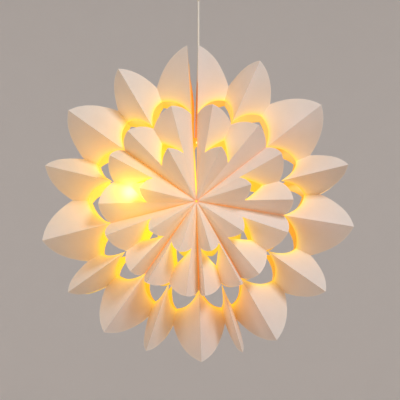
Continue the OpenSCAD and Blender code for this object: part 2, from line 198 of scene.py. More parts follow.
CREST_TIP_R, CREST_SEAM_R, CREST_FOLD_R, CRESCENT_R = 0.155, 0.139, 0.134, 0.180
SLIT_CREST_R, INNER_TIP_R, SLIT_FOLD_R = 0.078, 0.101, 0.106
NECK_LENGTH = 0.003
PETAL_BOW, CRESCENT_BOW, MIDDLE_BOW, INNER_BOW = 0.11, 0.12, 0.085, 0.055
WINDOW_R, WINDOW_RADIUS = 0.076, 0.021
PUNCH_R, PUNCH_RADIUS, PUNCH_Y = 0.1024, 0.003, 0.0054
WALL_BOW, BOW_FROM_R, BOW_TO_R = 0.0045, 0.118, 0.215
FACET_ACROSS, FACET_ALONG = 10, 10
BULB_R, BULB_ANGLE = 0.106, 277.6
WALL_EDGE_STEPS, WALL_BOW_CUTS = 12, 5
WINDOW_SIDES, PUNCH_SIDES = 40, 20
PAPER_CURL, PAPER_WAVINESS = 0.003, 0.004
PETAL_CURL_LENGTH, INNER_CURL_SHARE = 0.11, 0.35
FAR_FROM_EDGE = 1.0
LAMP_CELL = 6


def radial(degrees):
    turn = math.radians(degrees)
    return Vector((math.sin(turn), 0.0, math.cos(turn)))


BULB_CENTRE = STAR_CENTRE + BULB_R * radial(BULB_ANGLE)


def wall_angle(cell):
    return FIRST_WALL + sum(CELL_OPENING[:cell])


def crease_between(p, q, from_p, from_q, side):
    """The direction at these angles from p and q, on the front (-1) or rear (1) side of them."""
    c = p.dot(q)
    cos_p, cos_q = math.cos(math.radians(from_p)), math.cos(math.radians(from_q))
    flat = (p * (cos_p - cos_q * c) + q * (cos_q - cos_p * c)) / (1 - c * c)
    return flat + Vector((0.0, side * math.sqrt(1 - flat.length_squared), 0.0))


def cell_creases(cell):
    """Seam, crest, inner fold, valley and middle fold of each half of a cell's front sheet."""
    seams = [radial(wall_angle(cell)), radial(wall_angle(cell + 1))]
    fold = radial((wall_angle(cell) + wall_angle(cell + 1)) / 2 + FOLD_LEAN[cell])
    crests = [crease_between(s, fold, SIDE_ANGLE, FACE_ANGLE, -1) for s in seams]
    across = crests[0].cross(crests[1]).normalized()
    inner_fold = fold - 2 * fold.dot(across) * across
    return [
        {"seam": seams[h], "crest": crests[h], "inner": inner_fold, "fold": fold,
         "valley": crease_between(seams[h], fold, FACE_ANGLE, SIDE_ANGLE, 1)}
        for h in (0, 1)
    ]


def mitre(n1, n2):
    return (n1 + n2) / (1 + n1.dot(n2))


def flat_point(radius, degrees):
    turn = math.radians(degrees)
    return Vector((radius * math.cos(turn), radius * math.sin(turn)))


def cut_point(p, q, bow, share):
    """A point of a cut edge from p to q that bows outwards by a share of its length."""
    outwards = Vector((q.y - p.y, p.x - q.x))
    return p + (q - p) * share + outwards * 4 * bow * share * (1 - share)


def facet_plan(cell):
    """Every facet of a front sheet: its creases, angle, start and end radii, bows and tier."""
    halves = cell_creases(cell)
    plans = []
    for half, k in enumerate(halves):
        plans += [
            (half, "side", k["seam"], k["crest"], SIDE_ANGLE, (PINHOLE_R, PINHOLE_R, 0.0),
             (CREST_SEAM_R, CREST_TIP_R, MIDDLE_BOW)),
            (half, "inner", k["crest"], k["inner"], FACE_ANGLE, (PINHOLE_R, PINHOLE_R, 0.0),
             (SLIT_CREST_R, INNER_TIP_R, INNER_BOW)),
            (half, "middle", k["crest"], k["fold"], FACE_ANGLE,
             (SLIT_CREST_R, SLIT_FOLD_R, INNER_BOW), (CREST_TIP_R, CREST_FOLD_R, MIDDLE_BOW)),
            (half, "outer_side", k["seam"], k["valley"], FACE_ANGLE,
             (CREST_SEAM_R, CRESCENT_R, CRESCENT_BOW), (SEAM_TIP_R, NOTCH_R, PETAL_BOW)),
            (half, "outer_middle", k["valley"], k["fold"], SIDE_ANGLE,
             (CRESCENT_R, CREST_FOLD_R + NECK_LENGTH, CRESCENT_BOW),
             (NOTCH_R, MIDDLE_TIP_R, PETAL_BOW)),
        ]
    turns = (-1, 1)
    normals = {
        (half, name): turns[half] * p.cross(q).normalized() for half, name, p, q, *_ in plans
    }
    for half, k in enumerate(halves):
        normals[half, "wall"] = turns[half] * Vector((k["seam"].z, 0.0, -k["seam"].x))
    return plans, normals


def crease_offsets(normals, half, name, radius):
    """The offsets of a facet's edges along its first and second crease, at a radius on them."""
    own = normals[half, name]
    if name == "side":
        beyond = "inner" if radius < SLIT_CREST_R else "middle"
        return mitre(normals[half, "wall"], own), mitre(own, normals[half, beyond])
    if name in ("inner", "middle"):
        return mitre(normals[half, "side"], own), mitre(own, normals[1 - half, name])
    if name == "outer_side":
        return mitre(normals[half, "wall"], own), mitre(own, normals[half, "outer_middle"])
    return mitre(normals[half, "outer_side"], own), mitre(own, normals[1 - half, name])


def sheet_layers(mesh):
    """What each point of the paper keeps: its mitre and its facet's normal, which face of the
    sheet it is on, its curl, and how far it is from the slit's cut and from the glued seam."""
    layers = {name: mesh.verts.layers.float_vector.new(name) for name in ("mitre", "facing")}
    for name in ("side", "curl", "from_cut", "from_seam", "from_edge", "on_wall"):
        layers[name] = mesh.verts.layers.float.new(name)
    return layers


def add_facet(mesh, layers, centre, plan, normals):
    """One flat facet as a closed plate, with its mitres, its own normal and its curl stored."""
    half, name, p, q, angle, start, end = plan
    square = p.cross(q).cross(p).normalized()
    normal = normals[half, name]
    outer = name.startswith("outer")
    grid = {}
    for layer in (1, -1):
        for i in range(FACET_ALONG + 1):
            for j in range(FACET_ACROSS + 1):
                share = j / FACET_ACROSS
                low, high = (
                    cut_point(flat_point(cut[0], 0), flat_point(cut[1], angle), cut[2], share)
                    for cut in (start, end)
                )
                flat = low.lerp(high, i / FACET_ALONG)
                first, last = crease_offsets(normals, half, name, flat.length)
                offset = first if j == 0 else last if j == FACET_ACROSS else normal
                vert = mesh.verts.new(centre + flat.x * p + flat.y * square)
                vert[layers["mitre"]] = offset
                vert[layers["side"]] = layer
                vert[layers["facing"]] = normal
                from_cut = flat.length - low.length
                curl = from_cut / PETAL_CURL_LENGTH if outer else INNER_CURL_SHARE
                vert[layers["curl"]] = 4 * share * (1 - share) * curl
                vert[layers["from_cut"]] = from_cut if start[2] else FAR_FROM_EDGE
                vert[layers["from_seam"]] = abs(flat.y) if name == "side" else FAR_FROM_EDGE
                vert[layers["from_edge"]] = high.length - flat.length
                grid[layer, i, j] = vert
    forwards = (p.cross(q).dot(normal) > 0)

    def face(corners, flip):
        mesh.faces.new(corners[::-1] if flip else corners)

    for i in range(FACET_ALONG):
        for j in range(FACET_ACROSS):
            for layer in (1, -1):
                corners = [grid[layer, i, j], grid[layer, i + 1, j],
                           grid[layer, i + 1, j + 1], grid[layer, i, j + 1]]
                face(corners, forwards == (layer < 0))
    for i in range(FACET_ALONG):
        for j, flip in ((0, forwards), (FACET_ACROSS, not forwards)):
            corners = [grid[1, i, j], grid[1, i + 1, j], grid[-1, i + 1, j], grid[-1, i, j]]
            face(corners, flip)
    for j in range(FACET_ACROSS):
        for i, flip in ((0, not forwards), (FACET_ALONG, forwards)):
            corners = [grid[1, i, j], grid[1, i, j + 1], grid[-1, i, j + 1], grid[-1, i, j]]
            face(corners, flip)


def add_wall(mesh, layers, centre, cell, half, seam, normal):
    """A radial wall with its swallow-tailed end, lamp window and, in an end wall, punched hole."""
    depth = WALL_DEPTH / 2
    tip, notch = Vector((SEAM_TIP_R, -depth)), Vector((WALL_NOTCH_R, 0.0))
    shares = [k / WALL_EDGE_STEPS for k in range(WALL_EDGE_STEPS + 1)]
    front = [cut_point(tip, notch, PETAL_BOW, share) for share in shares]
    outline = [Vector((PINHOLE_R, depth)), Vector((PINHOLE_R, -depth)), *front]
    outline += [Vector((c.x, -c.y)) for c in front[-2::-1]]
    holes = [(WINDOW_R, 0.0, WINDOW_RADIUS, WINDOW_SIDES)]
    if (cell, half) in ((0, 0), (len(CELL_OPENING) - 1, 1)):
        holes.append((PUNCH_R, PUNCH_Y, PUNCH_RADIUS, PUNCH_SIDES))
    loops = [outline]
    for r, y, radius, sides in holes:
        loops.append([Vector((r, y)) + flat_point(radius, 360 * k / sides) for k in range(sides)])
    sheet = bmesh.new()
    edges = []
    for loop in loops:
        ring = [sheet.verts.new((c.x, c.y, 0.0)) for c in loop]
        edges += [sheet.edges.new((a, b)) for a, b in zip(ring, ring[1:] + ring[:1])]
    bmesh.ops.triangle_fill(sheet, use_beauty=True, edges=edges)
    bows = (cell, half) == (len(CELL_OPENING) - 1, 1)
    if bows:
        bmesh.ops.subdivide_edges(
            sheet, edges=sheet.edges[:], cuts=WALL_BOW_CUTS, use_grid_fill=True
        )
        bmesh.ops.triangulate(sheet, faces=sheet.faces[:])
    ids = {}
    for layer in (1, -1):
        for v in sheet.verts:
            along = (v.co.x - BOW_FROM_R) / (BOW_TO_R - BOW_FROM_R)
            swell = math.sin(math.pi * min(max(along, 0.0), 1.0)) * (1 - (v.co.y / depth)**2)
            flat = centre + v.co.x * seam + Vector((0.0, v.co.y + depth, 0.0))
            vert = mesh.verts.new(flat + normal * WALL_BOW * swell * bows)
            vert[layers["mitre"]] = normal
            vert[layers["side"]] = layer
            vert[layers["facing"]] = normal
            for name in ("from_cut", "from_seam", "from_edge"):
                vert[layers[name]] = FAR_FROM_EDGE
            vert[layers["on_wall"]] = 1.0
            ids[layer, v] = vert
    up = seam.cross(Vector((0.0, 1.0, 0.0))).dot(normal) > 0
    for f in sheet.faces:
        turned = f.normal.z > 0
        for layer in (1, -1):
            corners = [ids[layer, v] for v in f.verts]
            mesh.faces.new(corners if (turned == up) == (layer > 0) else corners[::-1])
    for e in sheet.edges:
        if len(e.link_faces) == 1:
            loop = e.link_loops[0]
            a, b = loop.vert, loop.link_loop_next.vert
            turned = (loop.face.normal.z > 0) == up
            corners = [ids[1, b], ids[1, a], ids[-1, a], ids[-1, b]]
            mesh.faces.new(corners if turned else corners[::-1])
    sheet.free()


def folded_front(cell):
    """A cell's front sheet as loose plates that still have no thickness, and its two walls."""
    mesh = bmesh.new()
    layers = sheet_layers(mesh)
    opening = math.radians(CELL_OPENING[cell])
    middle = radial((wall_angle(cell) + wall_angle(cell + 1)) / 2)
    off_axis = PAPER_THICKNESS / 2 / math.sin(opening / 2)
    centre = STAR_CENTRE + middle * off_axis - Vector((0.0, WALL_DEPTH / 2, 0.0))
    plans, normals = facet_plan(cell)
    for plan in plans:
        add_facet(mesh, layers, centre, plan, normals)
    sheet = object_from_bmesh(f"cell_{cell + 1}_front", mesh, 25)
    walls = bmesh.new()
    layers = sheet_layers(walls)
    for half, k in enumerate(cell_creases(cell)):
        add_wall(walls, layers, centre, cell, half, k["seam"], normals[half, "wall"])
    return sheet, object_from_bmesh(f"cell_{cell + 1}_walls", walls, 25)


def pleated_cell_nodes():
    """Geometry nodes that give the paper its thickness, curl it, mirror it to the back and join
    it to the walls."""
    tree = bpy.data.node_groups.new("pleated_cell", "GeometryNodeTree")
    tree.interface.new_socket("Geometry", in_out="INPUT", socket_type="NodeSocketGeometry")
    for label, kind in (("Walls", "NodeSocketObject"), ("Paper", "NodeSocketMaterial"),
                        ("Thickness", "NodeSocketFloat"), ("Curl", "NodeSocketFloat"),
                        ("Waviness", "NodeSocketFloat"), ("Through walls", "NodeSocketFloat")):
        tree.interface.new_socket(label, in_out="INPUT", socket_type=kind)
    tree.interface.new_socket("Geometry", in_out="OUTPUT", socket_type="NodeSocketGeometry")
    nodes, links = tree.nodes, tree.links
    given, result = nodes.new("NodeGroupInput"), nodes.new("NodeGroupOutput")

    def attribute(name, kind):
        node = nodes.new("GeometryNodeInputNamedAttribute")
        node.data_type = kind
        node.inputs["Name"].default_value = name
        return node.outputs["Attribute"]

    def scaled(vector, factor):
        node = nodes.new("ShaderNodeVectorMath")
        node.operation = "SCALE"
        links.new(vector, node.inputs[0])
        links.new(factor, node.inputs["Scale"])
        return node.outputs[0]

    def product(a, b):
        node = nodes.new("ShaderNodeMath")
        node.operation = "MULTIPLY"
        links.new(a, node.inputs[0])
        if isinstance(b, float):
            node.inputs[1].default_value = b
        else:
            links.new(b, node.inputs[1])
        return node.outputs[0]

    def moved(geometry, offset):
        node = nodes.new("GeometryNodeSetPosition")
        links.new(geometry, node.inputs["Geometry"])
        links.new(offset, node.inputs["Offset"])
        return node.outputs["Geometry"]

    half = product(attribute("side", "FLOAT"), given.outputs["Thickness"])
    thicken = scaled(attribute("mitre", "FLOAT_VECTOR"), product(half, 0.5))
    waves = nodes.new("ShaderNodeTexNoise")
    waves.inputs["Scale"].default_value = 14.0
    waves.inputs["Detail"].default_value = 1.0
    centred = nodes.new("ShaderNodeMath")
    centred.operation = "SUBTRACT"
    centred.inputs[1].default_value = 0.5
    links.new(waves.outputs[0], centred.inputs[0])
    wave = product(centred.outputs[0], given.outputs["Waviness"])
    lift = nodes.new("ShaderNodeMath")
    lift.operation = "ADD"
    links.new(wave, lift.inputs[0])
    links.new(given.outputs["Curl"], lift.inputs[1])
    height = product(attribute("curl", "FLOAT"), lift.outputs[0])
    curl = scaled(attribute("facing", "FLOAT_VECTOR"), height)
    curled = moved(given.outputs["Geometry"], curl)
    front = moved(curled, thicken)
    mirror = nodes.new("GeometryNodeTransform")
    mirror.inputs["Scale"].default_value = (1.0, -1.0, 1.0)
    turned = nodes.new("GeometryNodeFlipFaces")
    links.new(front, mirror.inputs["Geometry"])
    links.new(mirror.outputs["Geometry"], turned.inputs["Mesh"])
    walls = nodes.new("GeometryNodeObjectInfo")
    links.new(given.outputs["Walls"], walls.inputs["Object"])
    join = nodes.new("GeometryNodeJoinGeometry")
    for part in (moved(walls.outputs["Geometry"], thicken), turned.outputs["Mesh"], front):
        links.new(part, join.inputs["Geometry"])
    count = nodes.new("GeometryNodeStoreNamedAttribute")
    count.data_type = "FLOAT"
    count.domain = "POINT"
    count.inputs["Name"].default_value = "through_walls"
    links.new(join.outputs["Geometry"], count.inputs["Geometry"])
    links.new(given.outputs["Through walls"], count.inputs["Value"])
    real = nodes.new("GeometryNodeRealizeInstances")
    dressed = nodes.new("GeometryNodeSetMaterial")
    links.new(count.outputs["Geometry"], real.inputs["Geometry"])
    links.new(real.outputs["Geometry"], dressed.inputs["Geometry"])
    links.new(given.outputs["Paper"], dressed.inputs["Material"])
    links.new(dressed.outputs["Geometry"], result.inputs["Geometry"])
    return tree


def fine_grain_group():
    """Fine grain and soft clouds, as in paper fibre or moulded plastic: a tone and a height."""
    group, given, result = new_group(
        "fine_grain",
        [("Grain scale", "NodeSocketFloat", 900.0), ("Cloud scale", "NodeSocketFloat", 40.0)],
        [("Tone", "NodeSocketFloat"), ("Height", "NodeSocketFloat")],
    )
    nodes, links = group.nodes, group.links
    where = nodes.new("ShaderNodeTexCoord")
    fibre = nodes.new("ShaderNodeTexNoise")
    fibre.inputs["Detail"].default_value = 4.0
    fibre.inputs["Roughness"].default_value = 0.65
    fibre.inputs["Distortion"].default_value = 0.6
    clouds = nodes.new("ShaderNodeTexNoise")
    clouds.inputs["Detail"].default_value = 3.0
    links.new(where.outputs["Object"], fibre.inputs["Vector"])
    links.new(where.outputs["Object"], clouds.inputs["Vector"])
    links.new(given.outputs["Grain scale"], fibre.inputs["Scale"])
    links.new(given.outputs["Cloud scale"], clouds.inputs["Scale"])
    mix = nodes.new("ShaderNodeMix")
    mix.data_type = "FLOAT"
    mix.inputs["Factor"].default_value = 0.45
    links.new(fibre.outputs["Fac"], mix.inputs["A"])
    links.new(clouds.outputs["Fac"], mix.inputs["B"])
    links.new(mix.outputs["Result"], result.inputs["Tone"])
    links.new(fibre.outputs["Fac"], result.inputs["Height"])
    return group


def node_maker(material):
    """A short way to add a Math or Mix Colour node: operands are sockets or plain values."""
    nodes, links = material.node_tree.nodes, material.node_tree.links

    def fill(socket, value):
        if hasattr(value, "is_linked"):
            links.new(value, socket)
        else:
            socket.default_value = value

    def value(operation, *operands):
        node = nodes.new("ShaderNodeMath")
        node.operation = operation
        for socket, operand in zip(node.inputs, operands):
            fill(socket, operand)
        return node.outputs["Value"]

    def blend(kind, factor, a, b):
        node = nodes.new("ShaderNodeMix")
        node.data_type = "RGBA"
        node.blend_type = kind
        for label, operand in (("Factor_Float", factor), ("A_Color", a), ("B_Color", b)):
            socket = next(s for s in node.inputs if s.identifier == label)
            fill(socket, operand)
        return next(s for s in node.outputs if s.identifier == "Result_Color")

    return value, blend


def attribute_value(material, name):
    node = material.node_tree.nodes.new("ShaderNodeAttribute")
    node.attribute_name = name
    return node.outputs["Fac"]


# Painted lamp light: these set an emission glow and a yellow or orange base tint on the paper,
# which stand in for the bulb's light inside and through the sheets.
INNER_GLOW, NEAR_GLOW, NEAR_REACH = 0.30, 0.6, 0.08
SLIT_GLOW, SLIT_HALO, SEAM_GLOW, PAINTED_EDGE_HIGHLIGHT = 0.42, 0.17, 0.45, 0.12
HOT_CORE, HOT_HALO, BROAD_GLOW = 0.9, 0.75, 0.12
SLIT_REACH, HALO_REACH, SEAM_REACH, EDGE_HIGHLIGHT_REACH = 0.006, 0.030, 0.0022, 0.0007
CORE_REACH, GLARE_REACH, BROAD_REACH, YELLOW_REACH = 0.013, 0.032, 0.085, 0.125
SEAM_GLOW_BELOW, BELOW_REACH, SEAM_GLOW_LEAST = 0.075, 0.085, 0.22
CENTRE_SPOT_REACH = 0.004
FADE_FROM_R, FADE_LENGTH, FADE_SHARE = 0.14, 0.10, 0.75
MOST_WALLS_BETWEEN, GAP_LENGTH = 5.0, 0.25
PAINTED_LAMPLIGHT_TINT, PAINTED_SEAM_TINT = (0.97, 0.73, 0.09, 1.0), (0.85, 0.30, 0.12, 1.0)


def lamp_light(material, tone):
    """Painted lamp light in the paper, as emission and a warmer base colour: strong and yellow on
    the faces inside the cells, and soft on the outside, along the slits and seams that it leaves
    by and where the globe is close. Returns the paper's colour with its painted lamp tint and the
    painted glow that it gives off."""
    value, blend = node_maker(material)
    nodes, links = material.node_tree.nodes, material.node_tree.links
    where = nodes.new("ShaderNodeTexCoord")

    def distance(point, across_only=False):
        flat = nodes.new("ShaderNodeMapping")
        flat.inputs["Location"].default_value = -point
        if across_only:
            flat.inputs["Scale"].default_value = (1.0, 0.0, 1.0)
        length = nodes.new("ShaderNodeVectorMath")
        length.operation = "LENGTH"
        links.new(where.outputs["Object"], flat.inputs["Vector"])
        links.new(flat.outputs["Vector"], length.inputs[0])
        return length.outputs["Value"]

    def fading(length, reach, power=1.0):
        share = value("POWER", value("DIVIDE", length, reach), power)
        return value("EXPONENT", value("MULTIPLY", share, -1.0))

    def ramp(factor, *stops):
        node = nodes.new("ShaderNodeValToRGB")
        elements = node.color_ramp.elements
        elements[0].position, elements[0].color = stops[0][0], (*stops[0][1], 1.0)
        elements[1].position, elements[1].color = stops[-1][0], (*stops[-1][1], 1.0)
        for place, colour in stops[1:-1]:
            elements.new(place).color = (*colour, 1.0)
        links.new(factor, node.inputs["Fac"])
        return node.outputs["Color"]

    black = (0.0, 0.0, 0.0, 1.0)
    to_bulb, from_axis = distance(BULB_CENTRE), distance(STAR_CENTRE, True)
    beside_bulb = distance(BULB_CENTRE, True)
    inside = value("LESS_THAN", attribute_value(material, "side"), 0.0)
    on_wall = attribute_value(material, "on_wall")
    through = value("DIVIDE", attribute_value(material, "through_walls"), MOST_WALLS_BETWEEN)
    from_cut = attribute_value(material, "from_cut")
    from_seam = attribute_value(material, "from_seam")

    # Painted lamp light on the faces inside the cells: a yellow glow, strongest near the globe,
    # more orange in cells farther from it, dimmer towards the tips.
    squared = value("POWER", value("DIVIDE", to_bulb, NEAR_REACH), 2.0)
    spread = value("DIVIDE", 1.0, value("ADD", 1.0, squared))
    outer_part = ramp(through, (0.0, (1.0, 0.80, 0.10)), (0.25, (1.0, 0.74, 0.03)),
                      (0.6, (1.0, 0.48, 0.03)), (1.0, (0.95, 0.42, 0.03)))
    inner_colour = blend("MIX", fading(from_axis, YELLOW_REACH, 6.0), outer_part,
                         (1.0, 0.86, 0.03, 1.0))
    tipwards = value("DIVIDE", value("SUBTRACT", from_axis, FADE_FROM_R), FADE_LENGTH)
    tipwards = value("MINIMUM", value("MAXIMUM", tipwards, 0.0), 1.0)
    fade = value("SUBTRACT", 1.0, value("MULTIPLY", tipwards, FADE_SHARE))
    inner_light = value("ADD", INNER_GLOW, value("MULTIPLY", spread, NEAR_GLOW))
    inner_light = value("MULTIPLY", inner_light, fade)
    inner = blend("MIX", inner_light, black, inner_colour)

    # Painted light on the outer faces beside each slit's cut: a yellow band and a wider orange
    # halo, where the lamp's light leaves the cell.
    band, halo = fading(from_cut, SLIT_REACH), fading(from_cut, HALO_REACH)
    # Painted lamp glow along the glued seams, strongest below the centre, and a painted glow spot
    # at the centre.
    glow_centre = STAR_CENTRE - Vector((0.0, 0.0, SEAM_GLOW_BELOW))
    below = fading(distance(glow_centre, True), BELOW_REACH, 2.0)
    below = value("ADD", SEAM_GLOW_LEAST, value("MULTIPLY", below, 1.0 - SEAM_GLOW_LEAST))
    seam = value("MULTIPLY", fading(from_seam, SEAM_REACH), below)
    seam = value("MAXIMUM", seam, fading(from_axis, CENTRE_SPOT_REACH, 2.0))
    # Painted highlight: a thin light band of emission along the petals' cut edges.
    edge_highlight = fading(attribute_value(material, "from_edge"), EDGE_HIGHLIGHT_REACH)
    # Painted lamp light through the paper near the globe: a broad orange glow, and in the lamp's
    # cell a white hot spot with a yellow halo.
    broad = fading(to_bulb, BROAD_REACH, 1.5)
    in_lamp_cell = value("LESS_THAN", through, 0.5 / MOST_WALLS_BETWEEN)
    core = value("MULTIPLY", fading(beside_bulb, CORE_REACH, 2.0), in_lamp_cell)
    glare = value("MULTIPLY", fading(beside_bulb, GLARE_REACH, 2.0), in_lamp_cell)
    outer = blend("MIX", value("MULTIPLY", band, SLIT_GLOW), black, (1.0, 0.78, 0.0, 1.0))
    for mask, colour in (
        (value("MULTIPLY", halo, SLIT_HALO), (1.0, 0.42, 0.10, 1.0)),
        (value("MULTIPLY", broad, BROAD_GLOW), (1.0, 0.50, 0.04, 1.0)),
        (value("MULTIPLY", seam, SEAM_GLOW), (1.0, 0.24, 0.03, 1.0)),
        (value("MULTIPLY", glare, HOT_HALO), (1.0, 0.66, 0.03, 1.0)),
        (value("MULTIPLY", core, HOT_CORE), (1.0, 0.95, 0.75, 1.0)),
        (value("MULTIPLY", edge_highlight, PAINTED_EDGE_HIGHLIGHT), (1.0, 0.88, 0.74, 1.0)),
    ):
        outer = blend("ADD", mask, outer, colour)
    # Painted lamp glow on the walls: orange near the axis, fading to almost none towards the tips.
    gap = ramp(value("DIVIDE", from_axis, GAP_LENGTH),
               (0.0, (0.9, 0.55, 0.05)), (0.24, (0.8, 0.38, 0.02)),
               (0.45, (0.42, 0.09, 0.004)), (0.9, (0.14, 0.03, 0.003)))
    outer = blend("MIX", on_wall, outer, gap)
    glow = blend("MIX", inside, outer, inner)

    # Painted lamp light in the base colour: the paper is tinted yellow under the slit band, the
    # hot spot, the halo and the broad glow, and on inside faces and walls.
    lamp_tint_mask = value("MULTIPLY", value("MAXIMUM", band, glare), 0.85)
    lamp_tint_mask = value("MAXIMUM", lamp_tint_mask, value("MULTIPLY", halo, 0.25))
    lamp_tint_mask = value("MAXIMUM", lamp_tint_mask, value("MULTIPLY", broad, 0.75))
    lit_faces = value("MULTIPLY", value("MAXIMUM", inside, on_wall), value("MULTIPLY", fade, 0.75))
    lamp_tint_mask = value("MAXIMUM", lamp_tint_mask, lit_faces)
    paper = blend("MIX", lamp_tint_mask, tone, PAINTED_LAMPLIGHT_TINT)
    # Painted glow and shade in the seam grooves: the base colour turns dark orange along the glued
    # seams.
    paper = blend("MIX", value("MULTIPLY", seam, 0.8), paper, PAINTED_SEAM_TINT)
    return paper, glow


def paper_material(grain):
    """White uncoated paper that lets the lamp's light through and warms it, and carries painted
    lamp light in its base colour and emission. Rays that meet a face from inside the sheet pass,
    so that the thin sheet scatters light once."""
    material = new_material("white_paper", (0.87, 0.83, 0.80), 0.85)
    nodes, links = material.node_tree.nodes, material.node_tree.links
    shader = nodes["Principled BSDF"]
    shader.inputs["Specular IOR Level"].default_value = 0.25
    fibres = nodes.new("ShaderNodeGroup")
    fibres.node_tree = grain
    fibres.inputs["Grain scale"].default_value = 700.0
    fibres.inputs["Cloud scale"].default_value = 35.0
    tone = nodes.new("ShaderNodeValToRGB")
    tone.color_ramp.elements[0].position = 0.3
    tone.color_ramp.elements[0].color = (0.84, 0.80, 0.77, 1.0)
    tone.color_ramp.elements[1].position = 0.7
    tone.color_ramp.elements[1].color = (0.91, 0.88, 0.85, 1.0)
    bump = nodes.new("ShaderNodeBump")
    bump.inputs["Strength"].default_value = 0.25
    bump.inputs["Distance"].default_value = 0.0002
    links.new(fibres.outputs["Tone"], tone.inputs["Fac"])
    links.new(fibres.outputs["Height"], bump.inputs["Height"])
    links.new(bump.outputs["Normal"], shader.inputs["Normal"])
    paper, glow = lamp_light(material, tone.outputs["Color"])
    links.new(paper, shader.inputs["Base Color"])
    links.new(glow, shader.inputs["Emission Color"])
    shader.inputs["Emission Strength"].default_value = 1.0
    through = nodes.new("ShaderNodeBsdfTranslucent")
    through.inputs["Color"].default_value = (1.0, 0.68, 0.26, 1.0)
    thin = nodes.new("ShaderNodeMixShader")
    thin.inputs["Fac"].default_value = 0.17
    links.new(shader.outputs["BSDF"], thin.inputs[1])
    links.new(through.outputs["BSDF"], thin.inputs[2])
    facing = nodes.new("ShaderNodeNewGeometry")
    clear = nodes.new("ShaderNodeBsdfTransparent")
    once = nodes.new("ShaderNodeMixShader")
    links.new(facing.outputs["Backfacing"], once.inputs["Fac"])
    links.new(thin.outputs["Shader"], once.inputs[1])
    links.new(clear.outputs["BSDF"], once.inputs[2])
    links.new(once.outputs["Shader"], nodes["Material Output"].inputs["Surface"])
    return material


def make_cell(cell, tree, paper):
    sheet, walls = folded_front(cell)
    modifier = sheet.modifiers.new("pleat", "NODES")
    modifier.node_group = tree
    apart = abs(cell - LAMP_CELL)
    through = min(apart, len(CELL_OPENING) - apart + 1)
    values = {"Walls": walls, "Paper": paper, "Thickness": PAPER_THICKNESS, "Curl": PAPER_CURL,
              "Waviness": PAPER_WAVINESS, "Through walls": float(through)}
    for item in tree.interface.items_tree:
        if item.in_out == "INPUT" and item.name in values:
            modifier[item.identifier] = values[item.name]
    graph = bpy.context.evaluated_depsgraph_get()
    mesh = bpy.data.meshes.new_from_object(sheet.evaluated_get(graph))
    mesh.polygons.foreach_set("use_smooth", [True] * len(mesh.polygons))
    mesh.set_sharp_from_angle(angle=math.radians(20))
    piece = bpy.data.objects.new(f"paper_cell_{cell + 1}_sheet", mesh)
    bpy.context.collection.objects.link(piece)
    for used in (sheet, walls):
        bpy.data.objects.remove(used)
    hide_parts(f"paper_cell_{cell + 1}")
    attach(piece, "root")


cell_tree = pleated_cell_nodes()
fine_grain = fine_grain_group()
white_paper = paper_material(fine_grain)
for number in range(len(CELL_OPENING)):
    make_cell(number, cell_tree, white_paper)


# The lamp inside the left cell: a small opal globe bulb with a brass screw cap, in a white
# moulded holder with a ceramic contact base. The cord's grip and eye are moulded too, and the
# bar that carries the end walls is a thin wooden dowel.
GLOBE_RADIUS = 0.0225
GLASS_ENDS_R = 0.029
# Painted lamp light on the grip: a bright emission spot where the lamp shines through the punched
# hole, and a dim orange glow over the rest.
LEAK_ON_GRIP = STAR_CENTRE + Vector((-0.0006, -0.002, 0.103))
LEAK_RADIUS = 0.0022
PAINTED_LEAK_SPOT, PAINTED_GRIP_GLOW = (1.0, 0.86, 0.45, 1.0), (0.30, 0.10, 0.01, 1.0)
CROWN_GLOW, NECK_GLOW, BULB_STRENGTH = (1.0, 0.42, 0.06, 1.0), (0.35, 0.12, 0.015, 1.0), 3.0
BRASS = (0.72, 0.55, 0.28, 1.0)


def grained_material(name, dark, light, roughness, grain_scale, bump_height):
    """A moulded, glazed or turned surface: two close tones, varied gloss and a fine grain."""
    material = new_material(name, light, roughness)
    nodes, links = material.node_tree.nodes, material.node_tree.links
    shader = nodes["Principled BSDF"]
    grain = nodes.new("ShaderNodeGroup")
    grain.node_tree = fine_grain
    grain.inputs["Grain scale"].default_value = grain_scale
    grain.inputs["Cloud scale"].default_value = grain_scale / 12
    tone = nodes.new("ShaderNodeValToRGB")
    tone.color_ramp.elements[0].position, tone.color_ramp.elements[1].position = 0.3, 0.7
    tone.color_ramp.elements[0].color = (*dark, 1.0)
    tone.color_ramp.elements[1].color = (*light, 1.0)
    gloss = nodes.new("ShaderNodeMapRange")
    gloss.inputs["To Min"].default_value = roughness - 0.08
    gloss.inputs["To Max"].default_value = roughness + 0.10
    bump = nodes.new("ShaderNodeBump")
    bump.inputs["Strength"].default_value = 0.4
    bump.inputs["Distance"].default_value = bump_height
    links.new(grain.outputs["Tone"], tone.inputs["Fac"])
    links.new(grain.outputs["Tone"], gloss.inputs["Value"])
    links.new(grain.outputs["Height"], bump.inputs["Height"])
    links.new(tone.outputs["Color"], shader.inputs["Base Color"])
    links.new(gloss.outputs["Result"], shader.inputs["Roughness"])
    links.new(bump.outputs["Normal"], shader.inputs["Normal"])
    return material, tone.outputs["Color"]


def distance_from(material, point):
    nodes, links = material.node_tree.nodes, material.node_tree.links
    where, centred = nodes.new("ShaderNodeTexCoord"), nodes.new("ShaderNodeMapping")
    length = nodes.new("ShaderNodeVectorMath")
    centred.inputs["Location"].default_value = -point
    length.operation = "LENGTH"
    links.new(where.outputs["Object"], centred.inputs["Vector"])
    links.new(centred.outputs["Vector"], length.inputs[0])
    return length.outputs["Value"]


